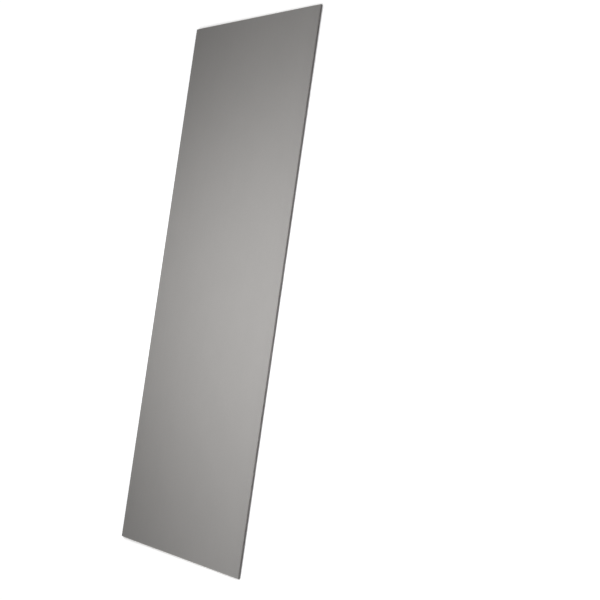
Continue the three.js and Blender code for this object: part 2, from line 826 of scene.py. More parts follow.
class ShaderGroup(NamedTree):
    """A shader node group that several finishes share. It puts out only masks and values."""

    def __init__(self, name: str, outputs: Sequence[str], **inputs: float) -> None:
        """Starts the group.

        Args:
            name: The group's name.
            outputs: The names of its outputs, each a number.
            **inputs: The first values of its inputs besides the place, by name with _ for a space.
        """
        super().__init__(name, "ShaderNodeTree", {"Place": ("NodeSocketVector", None)}, inputs)
        for label in outputs:
            self.group.interface.new_socket(label, in_out="OUTPUT", socket_type="NodeSocketFloat")

    def read(self, build: TreeBuilder, place: Socket, **inputs: float) -> bpy.types.NodeOutputs:
        """Places the group in a material.

        Args:
            build: The material's builder.
            place: Where the pattern is read.
            **inputs: Values for its other inputs.

        Returns:
            The group's outputs.
        """
        return build.add("ShaderNodeGroup", {"node_tree": self.group}, Place=place, **inputs).outputs


def paper_grain_group() -> ShaderGroup:
    """Makes the grain of pressed paper: cloudy formation, roller streaks and matted fibres.

    Returns:
        The group. Its outputs lie around 0, and about half a unit to each side.
    """
    shared = ShaderGroup(
        "paper_grain",
        ["Cloud", "Streak", "Fibre"],
        Cloud_Scale=5.0,
        Streak_Scale=90.0,
        Fibre_Scale=260.0,
        Felt_Scale=1900.0,
        Swirl_Scale=140.0,
        Swirl_Reach=9 * MM,
    )
    build, given = shared.build, shared.given
    place = given("Place")
    cloud = build.noise(place, given("Cloud Scale"), CLOUD_OCTAVES)

    # The paper was drawn through the rollers along its length, and so the streaks run that way.
    drawn = build.vector_math("MULTIPLY", place, (1.0, ROLLER_DRAG, 1.0))
    streak = build.noise(drawn, given("Streak Scale"), STREAK_OCTAVES)

    # Fibres are the thin walls between cells that are swirled about and squeezed in a few directions.
    swirled = build.shaken(place, given("Swirl Scale"), given("Swirl Reach"), SWIRL_DETAIL)
    matted: Feed = 0.0
    for angle, squeeze in FIBRE_LAYERS:
        kind = {"rotation_type": "Z_AXIS"}
        turned = build.add("ShaderNodeVectorRotate", kind, Vector=swirled, Angle=math.radians(angle))
        cells = build.vector_math("MULTIPLY", turned.outputs[0], (1.0, squeeze, 1.0))
        kind = {"feature": "DISTANCE_TO_EDGE"}
        walls = build.add("ShaderNodeTexVoronoi", kind, Vector=cells, Scale=given("Fibre Scale"))
        strand = build.ramp(walls.outputs["Distance"], (0.0, STRAND), (1.0, 0.0))
        matted = build.math("MAXIMUM", matted, strand)
    felt = build.noise(place, given("Felt Scale"), FELT_OCTAVES)
    fibre = build.weighted(-FELT_MIDDLE, (felt, FELT_WEIGHT), (matted, MATTED_WEIGHT))
    build.feed(shared.leave, Cloud=build.centred(cloud), Streak=build.centred(streak), Fibre=fibre)
    return shared


def fleck_group() -> ShaderGroup:
    """Makes sparse flecks, such as shives in recycled paper or pores in cast gypsum.

    Returns:
        The group. Its outputs are the depth of a bowl in each fleck and a random shade for each.
    """
    shared = ShaderGroup("flecks", ["Bowl", "Shade"], Scale=300.0, Radius=0.2, Share=0.3, Ragged=0.3)
    build, given = shared.build, shared.given
    scale = given("Scale")
    stray = build.math("DIVIDE", given("Ragged"), scale)
    ragged = build.shaken(given("Place"), build.math("MULTIPLY", scale, RAGGED_SCALE), stray)
    bowl, shade = build.bowls(ragged, scale, given("Radius"), given("Share"))
    build.feed(shared.leave, Bowl=bowl, Shade=shade)
    return shared


def edge_wear_group(size: BoardSize) -> ShaderGroup:
    """Makes the rubbing that handling leaves along all four sides, and a mask of the raw cut.

    Args:
        size: The sheet's overall sizes.

    Returns:
        The group. Its outputs are the rubbed places and the last fraction of a millimetre at the sawn ends.
    """
    shared = ShaderGroup(
        "edge_wear", ["Rubbed", "Cut"], Reach=5 * MM, Patch_Scale=45.0, Cut_Width=0.5 * MM, Wander=0.5 * MM
    )
    build, given = shared.build, shared.given
    place = given("Place")
    here = build.split(place)
    to_edge = build.math("SUBTRACT", size.half_width, build.math("ABSOLUTE", here["X"]))
    to_end = build.math("SUBTRACT", size.half_length, build.math("ABSOLUTE", here["Y"]))
    nearest = build.math("MINIMUM", to_edge, to_end)
    close = build.math("SUBTRACT", 1.0, build.math("DIVIDE", nearest, given("Reach")), clamp=True)
    # Only the highest places of the noise are rubbed. The closer to an edge, the more places that is.
    patches = build.noise(place, given("Patch Scale"), WEAR_OCTAVES)
    broken = build.ramp(build.math("MULTIPLY_ADD", close, NEARNESS, patches), RUBBED)
    rubbed = build.math("MULTIPLY", broken, build.math("POWER", close, WEAR_FADE))
    wander = build.product(build.math("SUBTRACT", patches, NOISE_MIDDLE), given("Wander"))
    depth = build.math("DIVIDE", build.math("ADD", to_end, wander), given("Cut Width"))
    build.feed(shared.leave, Rubbed=rubbed, Cut=build.math("SUBTRACT", 1.0, depth, clamp=True))
    return shared


# ---------------------------------------------------------------------------------------------------
# Finishes
# ---------------------------------------------------------------------------------------------------

SCREEN_WHITE = 255
SCREEN_OFFSET = 0.055  # of the curve that screen colours follow
SCREEN_POWER = 2.4  # and its power


def linear(*screen: float) -> Colour:
    """Turns a screen colour that is no near-black, from 0 to 255 a channel, into the one shaders take."""
    lifted = ((value / SCREEN_WHITE + SCREEN_OFFSET) / (1 + SCREEN_OFFSET) for value in screen)
    return *(value**SCREEN_POWER for value in lifted), 1.0


class MaterialDraft(TreeBuilder):
    """A material that is being built."""

    def __init__(self, name: str) -> None:
        """Starts the material.

        Args:
            name: Its name.
        """
        self.material = bpy.data.materials.new(name)
        self.material.use_nodes = True
        super().__init__(self.material.node_tree)

    def close(self, **inputs: Feed) -> bpy.types.Material:
        """Feeds the material's shader.

        Args:
            **inputs: What its inputs are fed, as feed takes it.

        Returns:
            The finished material.
        """
        self.feed(self.tree.nodes["Principled BSDF"], **inputs)
        return self.material


@dataclass(frozen=True)
class Fleck:
    """One size of flecks or pores."""

    scale: float  # cells in a metre, each with room for one
    radius: float  # radius of the largest, as a share of a cell
    share: float  # which share of the cells holds one
    ragged: float  # how far their outline strays, as a share of a cell
    depth: float = 0.0  # how deep they are, as a share of the finish's relief


@dataclass(frozen=True)
class SharedGroups:
    """The shader groups that the finishes have in common."""

    grain: ShaderGroup
    flecks: ShaderGroup
    wear: ShaderGroup

    @classmethod
    def make(cls, size: BoardSize) -> "SharedGroups":
        """Builds each group once."""
        return cls(paper_grain_group(), fleck_group(), edge_wear_group(size))

    def scatter(self, build: TreeBuilder, place: Socket, fleck: Fleck) -> bpy.types.NodeOutputs:
        """Scatters flecks of one size.

        Args:
            build: The material's builder.
            place: Where the pattern is read.
            fleck: Their size.

        Returns:
            The outputs Bowl and Shade.
        """
        sizes = {"Scale": fleck.scale, "Radius": fleck.radius, "Share": fleck.share, "Ragged": fleck.ragged}
        return self.flecks.read(build, place, **sizes)


@dataclass(frozen=True)
class PaperFinish:
    """A pressed paper of long fibres."""

    name: str  # the material's name
    colour: Colour  # its ground colour
    raised: Colour  # where handling has raised the fibres
    cut: Colour  # the raw cut edge
    shive: Colour  # specks in the pulp
    shives: Fleck  # how the specks are scattered
    cloud: float  # how much the cloudy formation changes the ground colour
    streak: float  # how much the roller streaks change it
    fibre: float  # how much single fibres change it
    roughness: float  # its roughness
    relief: float  # height of the fibres' bump, in metres
    shine: float = 0.32  # its specular level
    sheen: float = 0.04  # weight of the soft sheen that loose fibres give
    bump: float = 0.8  # strength of the bump
    speck_rise: float = 1.6  # how steeply a speck fills in from its rim
    rubbed_colour: float = 0.6  # how much of the raised colour the most rubbed places take
    rubbed_height: float = 0.35  # how far they stand up, as a share of the relief
    streak_dulls: float = 0.04  # what the roller streaks add to the roughness
    fibre_dulls: float = 0.05  # what single fibres add to it
    rubbing_dulls: float = 0.08  # and what rubbing adds

    def make(self, shared: SharedGroups) -> bpy.types.Material:
        """Builds the material.

        Args:
            shared: The groups that it places.

        Returns:
            The material.
        """
        build = MaterialDraft(self.name)
        place = build.add("ShaderNodeTexCoord").outputs["Object"]
        grain, wear = shared.grain.read(build, place), shared.wear.read(build, place)
        shives = shared.scatter(build, place, self.shives)
        cloud, streak, fibre, rubbed = grain["Cloud"], grain["Streak"], grain["Fibre"], wear["Rubbed"]

        shade = build.weighted(1.0, (cloud, self.cloud), (streak, self.streak), (fibre, self.fibre))
        centre = build.math("MULTIPLY", shives["Bowl"], self.speck_rise, clamp=True)
        specks = build.math("MULTIPLY", centre, shives["Shade"])
        specked = build.mix_colour(specks, build.scale(self.colour[:3], shade), self.shive)
        handled = build.mix_colour(build.math("MULTIPLY", rubbed, self.rubbed_colour), specked, self.raised)
        height = build.weighted(0.0, (fibre, 1.0), (rubbed, self.rubbed_height))
        bump = build.add("ShaderNodeBump", Strength=self.bump, Distance=self.relief, Height=height)
        dulled = ((streak, self.streak_dulls), (fibre, self.fibre_dulls), (rubbed, self.rubbing_dulls))
        return build.close(
            Base_Color=build.mix_colour(wear["Cut"], handled, self.cut),
            Roughness=build.weighted(self.roughness, *dulled),
            Normal=bump.outputs["Normal"],
            Specular_IOR_Level=self.shine,
            Sheen_Weight=self.sheen,
        )


@dataclass(frozen=True)
class GypsumFinish:
    """Cast gypsum, foamed with small air pores, and sawn."""

    name: str  # the material's name
    colour: Colour  # its ground colour
    pore_shade_colour: Colour  # in pores
    dust: Colour  # painted shade on the floors of the pores
    pores: tuple[Fleck, ...]  # its sizes of pores
    roughness: float  # its roughness
    relief: float  # height of the bump, in metres
    shine: float = 0.22  # its specular level
    cloud_scale: float = 55.0  # features of the dust's clouds in a metre
    cloud_octaves: Octaves = (4.0, 0.6)  # their finer octaves
    dusty: Span = (0.38, 0.66)  # where in the clouds the dust sets in, and where it is full
    cloud_dulls: float = 0.06  # what the clouds add to the roughness
    grit_scale: float = 1700.0  # features of the grit in a metre
    grit_octaves: Octaves = (5.0, 0.72)  # its finer octaves
    grit_height: float = 0.9  # how far it stands up, as a share of the relief
    grit_light: float = 0.18  # how much it lightens the ground
    score_scale: float = 1100.0  # features of the saw's scores in a metre
    score_octaves: Octaves = (3.0, 0.65)  # their finer octaves
    score_stretch: float = 0.1  # squeezes coordinates along Z, which draws the scores out upright
    score_height: float = 0.5  # how far they stand up, as a share of the relief
    score_light: float = 0.1  # how much they lighten the ground
    ground: float = 0.86  # brightness of the ground without grit and scores
    pore_shade: float = 0.42  # how much of the painted pore shade the floor of a pore takes

    def make(self, shared: SharedGroups) -> bpy.types.Material:
        """Builds the material.

        Args:
            shared: The groups that it places.

        Returns:
            The material.
        """
        build = MaterialDraft(self.name)
        place = build.add("ShaderNodeTexCoord").outputs["Object"]
        clouds = build.noise(place, self.cloud_scale, self.cloud_octaves)
        grit = build.noise(place, self.grit_scale, self.grit_octaves)
        # The saw drags the gypsum through the thickness, which leaves fine upright scores.
        dragged = build.vector_math("MULTIPLY", place, (1.0, 1.0, self.score_stretch))
        scores = build.noise(dragged, self.score_scale, self.score_octaves)
        height = build.weighted(0.0, (grit, self.grit_height), (scores, self.score_height))
        # Mask of the pores' floors, which take painted shade.
        pore_shade_mask: Feed = 0.0
        for pore in self.pores:
            bowl = shared.scatter(build, place, pore)["Bowl"]
            pore_shade_mask = build.math("MAXIMUM", pore_shade_mask, bowl)
            height = build.math("MULTIPLY_ADD", bowl, -pore.depth, height)

        dusty = build.mix_colour(build.ramp(clouds, self.dusty), self.colour, self.dust)
        # Painted shade: each pore's floor is darkened, as if little light reached into it. The bump gives it
        # real depth as well.
        pitted = build.mix_colour(build.math("MULTIPLY", pore_shade_mask, self.pore_shade), dusty, self.pore_shade_colour)
        bump = build.add("ShaderNodeBump", Strength=1.0, Distance=self.relief, Height=height)
        light = build.weighted(self.ground, (grit, self.grit_light), (scores, self.score_light))
        return build.close(
            Base_Color=build.scale(pitted, light),
            Roughness=build.weighted(self.roughness, (clouds, self.cloud_dulls)),
            Normal=bump.outputs["Normal"],
            Specular_IOR_Level=self.shine,
        )


FACE_PAPER_FINISH = PaperFinish(
    name="face_paper_grey",
    colour=linear(167.5, 165.3, 163.2),
    raised=linear(186, 184, 180),
    cut=linear(186, 184, 178),
    shive=linear(138, 135, 130),
    shives=Fleck(scale=240.0, radius=0.24, share=0.14, ragged=0.5),
    cloud=0.03,
    streak=0.022,
    fibre=0.07,
    roughness=0.82,
    relief=0.05 * MM,
)
BACK_PAPER_FINISH = PaperFinish(
    name="liner_paper_greybrown",
    colour=linear(163, 156, 143),
    raised=linear(178, 171, 158),
    cut=linear(184, 178, 166),
    shive=linear(108, 98, 84),
    shives=Fleck(scale=240.0, radius=0.24, share=0.4, ragged=0.5),
    cloud=0.04,
    streak=0.025,
    fibre=0.11,
    roughness=0.9,
    relief=0.08 * MM,
)
GYPSUM_FINISH = GypsumFinish(
    name="gypsum_cream",
    colour=linear(205, 200, 187),
    # The colour that the pores' floors take is painted shade: darker gypsum where little light reaches into
    # a pore.
    pore_shade_colour=linear(144, 138, 125),
    dust=linear(221, 216.5, 205.5),
    pores=(
        Fleck(scale=3600.0, radius=0.3, share=0.8, ragged=0.5, depth=0.25),
        Fleck(scale=1500.0, radius=0.27, share=0.5, ragged=0.35, depth=0.6),
        Fleck(scale=520.0, radius=0.24, share=0.2, ragged=0.25, depth=1.2),
    ),
    roughness=0.91,
    relief=0.35 * MM,
)


# ---------------------------------------------------------------------------------------------------
# Geometry tools
# ---------------------------------------------------------------------------------------------------

FULL_TURN = (math.tau, math.tau, math.tau)
NO_TURN = (0.0, 0.0, 0.0)
SPIN = (0.0, 0.0, math.tau)
SEED_STEP = (1.0, 1.7, 2.3)  # how far each unit of a seed moves a pattern, in metres
ROLLING_OCTAVES: Octaves = (4.0, 0.62)
ROLLING: Span = (0.25, 0.75)  # the values of the noise that are spread over the unevenness's whole depth
PIT_RADIUS = 0.48  # of the largest pits, as a share of a cell
ROOT_STRAY = ((-4.0, -1.0, -1.0), (4.0, 0.0, 1.0))  # least and most that a fibre's root strays, in spreads
FIBRE_BOW = {"Start": (0.0, 0.0, 0.0), "Middle": (0.25, 0.0, 0.5), "End": (-0.2, 0.1, 1.0)}
FIBRE_STEPS = 4  # along one fibre
SHORTEST_FIBRE = 0.3  # its length, as a share of the longest
TURN_IN: Span = (0.994, 0.998)  # where fibres turn in from the long edge, as shares of the half width
LEAN_OUT = 0.25  # how far fibres point out of the sawn end
LEAN_STRAY = ((-1.0, -0.3, -0.6), (1.0, 0.3, 0.6))  # least and most that their directions stray
FACING_OUT = 0.5  # what a face's normal has along the sheet, at least, on a sawn end
LUMP_SCALE = 1.7  # features of the noise that knocks a crumb out of round, over its own size
LUMP_REACH = 0.9  # and how far it does so
CRUMB_SIZES = ((0.2, 0.2, 0.2), (1.0, 1.0, 0.8))  # the smallest and the largest, as shares of the size


def roughen_tool() -> GeometryTool:
    """Makes the tool that eats into a surface and never stands proud of it.

    Returns:
        The tool. Its inputs are the depth and scale of a rolling unevenness, the depth, scale and share of
        round pits, and whether all of it goes along Y instead of along the normals.
    """
    pits = {"Pit_Depth": 0.0, "Pit_Scale": 250.0, "Pit_Share": 0.0}
    tool = GeometryTool("roughen", Depth=0.0, Scale=9.0, Along_Y=False, **pits)
    build, given = tool.build, tool.given
    place = build.add("GeometryNodeInputPosition").outputs[0]
    seeded = build.vector_math("ADD", place, build.scale(SEED_STEP, given("Seed")))
    rolling = build.ramp(build.noise(seeded, given("Scale"), ROLLING_OCTAVES), ROLLING)
    bowl, _ = build.bowls(seeded, given("Pit Scale"), PIT_RADIUS, given("Pit Share"))
    eaten = build.math("MULTIPLY", rolling, given("Depth"))
    sunk = build.math("MULTIPLY_ADD", bowl, given("Pit Depth"), eaten)
    weight = build.add("GeometryNodeInputNamedAttribute", {"data_type": "FLOAT"}, Name="rough")
    inwards = build.product(sunk, weight.outputs["Attribute"], -1.0)

    to_end = build.join(y=build.math("SIGN", build.split(place)["Y"]))
    normal = build.add("GeometryNodeInputNormal").outputs[0]
    choices = numbered((given("Along Y"), normal, to_end))
    direction = build.add("GeometryNodeSwitch", {"input_type": "VECTOR"}, **choices)
    offset = build.scale(direction.outputs[0], inwards)
    moved = build.add("GeometryNodeSetPosition", Geometry=given("Geometry"), Offset=offset)
    tool.close(moved.outputs[0])
    return tool


def fibre_tool() -> GeometryTool:
    """Makes the tool that sets curled paper fibres along a wire, bent over the core like a burr.

    Returns:
        The tool. Its inputs are the number of fibres, their length, half their thickness, and how far their
        roots stray from the wire.
    """
    tool = GeometryTool("cut_fibres", Count=600, Length=1.0 * MM, Radius=0.03 * MM, Spread=0.12 * MM)
    build, given = tool.build, tool.given
    wire = build.add("GeometryNodeMeshToCurve", Mesh=given("Geometry"))
    counted = {"mode": "COUNT"}
    points = build.add("GeometryNodeResampleCurve", counted, Curve=wire.outputs[0], Count=given("Count"))
    here = build.split(build.add("GeometryNodeInputPosition").outputs[0])
    low, high = build.split(given("Low Corner")), build.split(given("High Corner"))
    end, side = build.math("SIGN", here["Y"]), build.math("SIGN", here["X"])

    # Roots stray along the wire and back from the end.
    stray = build.scale(tool.random(*ROOT_STRAY), given("Spread"))
    back = build.vector_math("MULTIPLY", stray, build.join(1.0, end, 1.0))
    roots = build.add("GeometryNodeSetPosition", Geometry=points.outputs[0], Offset=back)

    curl = build.add("GeometryNodeCurveQuadraticBezier", Resolution=FIBRE_STEPS, **FIBRE_BOW)
    triangle = build.add("GeometryNodeCurvePrimitiveCircle", Resolution=3, Radius=1.0)
    fibre = build.add(
        "GeometryNodeCurveToMesh",
        Curve=curl.outputs[0],
        Profile_Curve=triangle.outputs[0],
        Scale=build.math("DIVIDE", given("Radius"), given("Length")),
        Fill_Caps=True,
    )

    # A fibre leans towards the core: down from the front, up from the back and in from the long edges.
    across = build.math("DIVIDE", here["X"], high["X"])
    at_edge = build.ramp(build.math("ABSOLUTE", across), TURN_IN)
    middle = build.math("MULTIPLY", build.math("ADD", low["Z"], high["Z"]), 0.5)
    down = build.math("DIVIDE", build.math("SUBTRACT", middle, here["Z"]), middle)
    towards = build.join(build.product(side, at_edge, -1.0), build.math("MULTIPLY", end, LEAN_OUT), down)
    lean = build.vector_math("ADD", towards, tool.random(*LEAN_STRAY, step=1))
    aimed = build.add("FunctionNodeAlignRotationToVector", {"axis": "Z"}, Vector=lean)
    local, spin = {"rotation_space": "LOCAL"}, tool.random(NO_TURN, SPIN, step=2)
    rolled = build.add("FunctionNodeRotateRotation", local, Rotation=aimed.outputs[0], Rotate_By=spin)
    share = build.split(tool.random((SHORTEST_FIBRE, 0.0, 0.0), (1.0, 0.0, 0.0), step=3))["X"]
    hairs = build.add(
        "GeometryNodeInstanceOnPoints",
        Points=roots.outputs[0],
        Instance=fibre.outputs[0],
        Rotation=rolled.outputs[0],
        Scale=build.scale((1.0, 1.0, 1.0), build.math("MULTIPLY", share, given("Length"))),
    )
    tool.close(hairs.outputs[0])
    return tool


def crumb_tool() -> GeometryTool:
    """Makes the tool that scatters angular crumbs over the faces at both ends of a mesh.

    Returns:
        The tool. Its inputs are the crumbs' number for each square metre, the size of the largest before it
        is knocked out of round, and how far from the ends they lie.
    """
    tool = GeometryTool("sawing_crumbs", Density=20000.0, Size=0.8 * MM, Reach=3 * MM)
    build, given = tool.build, tool.given
    place = build.add("GeometryNodeInputPosition").outputs[0]
    facing = build.split(build.add("GeometryNodeInputNormal").outputs[0])
    limit = build.math("SUBTRACT", build.split(given("High Corner"))["Y"], given("Reach"))
    at_end = build.math("GREATER_THAN", build.math("ABSOLUTE", build.split(place)["Y"]), limit)
    sawn = build.math("GREATER_THAN", build.math("ABSOLUTE", facing["Y"]), FACING_OUT)
    points = build.add(
        "GeometryNodeDistributePointsOnFaces",
        Mesh=given("Geometry"),
        Selection=build.math("MULTIPLY", at_end, sawn),
        Density=given("Density"),
        Seed=given("Seed"),
    )
    ball = build.add("GeometryNodeMeshIcoSphere", Radius=0.5, Subdivisions=1)
    knocked = build.push(place, LUMP_SCALE, LUMP_REACH)
    crumb = build.add("GeometryNodeSetPosition", Geometry=ball.outputs[0], Offset=knocked)
    crumbs = build.add(
        "GeometryNodeInstanceOnPoints",
        Points=points.outputs["Points"],
        Instance=crumb.outputs[0],
        Rotation=tool.random(NO_TURN, FULL_TURN),
        Scale=build.scale(tool.random(*CRUMB_SIZES, step=1), given("Size")),
    )
    tool.close(crumbs.outputs[0])
    return tool


# ---------------------------------------------------------------------------------------------------
# Pieces
# ---------------------------------------------------------------------------------------------------

STEP_RUN = 0.3 * MM  # width over which the core's back steps up to the flap
SLIVER = 0.05 * MM  # columns closer than this are one
DECIMALS = 7  # to which their places in metres are compared
CLOSE = 0.2 * MM  # spacing at which the section's line is read off
SIDES = 4  # of the core's outline and the back paper's. Their parameter rises by 1 along each
TURN_BACK = 1.0  # what the face paper's parameter rises by at each flap's end, between its two surfaces
TUFT = 2.2 * MM  # width of the tufts that a cut edge is frayed into
TUFT_SHIFT = 7  # keeps the tufts of the two ends apart in the noise
TUFT_SHARE = 0.6  # how much of the fraying is tufts
WAVE = 11 * MM  # width of its slower wandering
WAVE_SHIFT = 3  # keeps the wandering of the two ends apart
NOISE_VALUES = 4096  # how many random values the noise on a plane draws from
NOISE_STRIDE = (73, 977)  # how far apart neighbours in each direction lie in that list


def finish_piece(piece: bpy.types.Object, slot: Slot, *nodes: str) -> bpy.types.Object:
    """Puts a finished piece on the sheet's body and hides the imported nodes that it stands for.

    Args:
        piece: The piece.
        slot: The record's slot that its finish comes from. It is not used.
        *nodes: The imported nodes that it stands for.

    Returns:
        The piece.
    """
    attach(piece, BODY)
    if nodes:
        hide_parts(*nodes)
    return piece


def value_noise(x: np.ndarray, y: np.ndarray, seed: int) -> np.ndarray:
    """Reads smooth random values on a plane, from 0 to 1.

    Args:
        x: First coordinate, one feature for each whole number.
        y: Second coordinate.
        seed: Seed of the values.

    Returns:
        A value for each point.
    """
    table = np.random.default_rng(seed).random(NOISE_VALUES)

    def corner(ix: np.ndarray, iy: np.ndarray) -> np.ndarray:
        """Returns the random value at whole-number points."""
        strides = ix.astype(np.int64) * NOISE_STRIDE[0] + iy.astype(np.int64) * NOISE_STRIDE[1]
        return table[strides % NOISE_VALUES]

    x0, y0 = np.floor(x), np.floor(y)
    fx, fy = x - x0, y - y0
    fx, fy = fx * fx * (3 - 2 * fx), fy * fy * (3 - 2 * fy)
    low = corner(x0, y0) * (1 - fx) + corner(x0 + 1, y0) * fx
    high = corner(x0, y0 + 1) * (1 - fx) + corner(x0 + 1, y0 + 1) * fx
    return low * (1 - fy) + high * fy


@dataclass
class PaperLayer:
    """A layer of paper that runs the sheet's whole length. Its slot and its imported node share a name."""

    section: WrapSection  # the section that it belongs to
    material: bpy.types.Material  # its finish
    slot: Slot  # its slot
    cockle: float  # depth of its shallow ripples
    ripples: float  # how many of them there are in a metre
    seed: int  # seed of the ripples and of the wandering of its cut edges
    coarse: float = 16 * MM  # step between points over most of it
    fine: float = 1.1 * MM  # step across the last few millimetres at each sawn end
    end_rows: tuple[float, ...] = (0.0, 0.25 * MM, 0.7 * MM, 1.6 * MM, 4 * MM)  # close rows, from the end
    fray: float = 0.3 * MM  # how far the cut edge wanders back from the end

    def outline(self, spacing: float) -> Outline:
        """Draws the layer's section as a closed loop, the inside with as many points as the outside.

        Args:
            spacing: The largest step between its points.

        Returns:
            The outline.
        """
        raise NotImplementedError

    def rows(self) -> list[float]:
        """Places rows along the sheet.

        Returns:
            Their places along Y, close together at both ends and even between.
        """
        half = self.section.size.half_length
        inner = half - self.end_rows[-1]
        even = np.linspace(-inner, inner, math.ceil(2 * inner / self.coarse) + 1)[1:-1]
        near = [distance - half for distance in self.end_rows]
        return [*near, *even.tolist(), *(-y for y in reversed(near))]

    def build(self, roughen: GeometryTool) -> bpy.types.Object:
        """Builds and dresses the layer, closed at its two cut edges.

        Args:
            roughen: The tool that gives it its ripples.

        Returns:
            The piece.
        """
        draft = MeshDraft()
        fine, coarse = self.outline(self.fine), self.outline(self.coarse)
        rows, close = self.rows(), len(self.end_rows) - 1
        from_end = [min(i, len(rows) - 1 - i) for i in range(len(rows))]
        rings = [draft.add_ring(fine if i < close else coarse, y) for i, y in zip(from_end, rows)]
        draft.join_chain(rings)
        for ring in (rings[0], rings[-1]):
            for i in range(len(ring) // 2 - 1):
                corners = (i, i + 1, -2 - i, -1 - i)
                draft.faces.append(tuple(ring.index(corner) for corner in corners))
        draft.points = [self.frayed(np.concatenate(draft.points))]
        piece = draft.to_object(f"dressed_{self.slot.value}")
        roughen.run(piece, self.material, Depth=self.cockle, Scale=self.ripples, Seed=self.seed)
        return finish_piece(piece, self.slot, self.slot.value)

    def frayed(self, points: np.ndarray) -> np.ndarray:
        """Lets both cut edges wander back from the end, most at the edge and not at all at the last row.

        Args:
            points: The layer's vertices.

        Returns:
            The vertices in their new places.
        """
        x, y, z = points.T
        end = np.sign(y)
        share = np.clip(1.0 - (self.section.size.half_length - np.abs(y)) / self.end_rows[-1], 0.0, 1.0)
        tufts = value_noise(x / TUFT, end * TUFT_SHIFT + z / TUFT, self.seed)
        waves = value_noise(x / WAVE, end * WAVE_SHIFT, self.seed + 1)
        wander = TUFT_SHARE * tufts + (1 - TUFT_SHARE) * waves
        return np.column_stack([x, y - end * share * self.fray * wander, z])


@dataclass
class FacePaper(PaperLayer):
    """The face paper: front, both wrapped long edges and the two flaps on the back."""

    slot: Slot = Slot.FACE_PAPER
    cockle: float = 0.09 * MM
    ripples: float = 9.0
    seed: int = 11

    def outline(self, spacing: float) -> Outline:
        """Draws the section's line and, back along it, the paper's inside.

        Args:
            spacing: The largest step between its points.

        Returns:
            The outline.
        """
        outside, place = self.section.line(0.0, spacing)
        inside, _ = self.section.line(self.section.size.face_paper, spacing)
        if len(inside) != len(outside):
            raise ValueError("the two surfaces of the paper need as many points each")
        turned = place[-1] + TURN_BACK + (place[-1] - place[::-1])
        front = (np.abs(place) < Run.FRONT_TURN).astype(float)
        return Outline(
            points=np.concatenate([outside, inside[::-1]]),
            places=np.concatenate([place, turned]),
            period=2 * (place[-1] - place[0] + TURN_BACK),
            weight=np.concatenate([front, np.zeros(len(inside))]),
        )


@dataclass
class BackPaper(PaperLayer):
    """The back paper: a flat sheet between its two margins, lying over the flaps."""

    slot: Slot = Slot.BACK_PAPER
    cockle: float = 0.06 * MM
    ripples: float = 12.0
    seed: int = 23
    skive: float = 1.5 * MM  # how far in from each margin the paper thins out
    thinned: float = 0.45  # which share of its thickness is gone at the margin

    def outline(self, spacing: float) -> Outline:
        """Draws the underside and, back along it, the top.

        Args:
            spacing: The largest step between its points.

        Returns:
            The outline.
        """
        size = self.section.size
        half, inner = size.back_half_width, size.back_half_width - self.skive
        across = np.linspace(-inner, inner, math.ceil(2 * inner / spacing) + 1)
        across = np.concatenate([[-half], across, [half]])
        under, weight = np.zeros(len(across)), np.ones(len(across))
        under[[0, -1]] = size.back_paper * self.thinned
        weight[[0, 1, -2, -1]] = 0.0
        over = np.full(len(across), size.back_paper)
        place = (across + half) / (2 * half)
        return Outline(
            points=np.concatenate([np.column_stack([across, under]), np.column_stack([across, over])[::-1]]),
            places=np.concatenate([place, SIDES - 1 - place[::-1]]),
            period=SIDES,
            weight=np.concatenate([weight, np.zeros(len(across))]),
        )


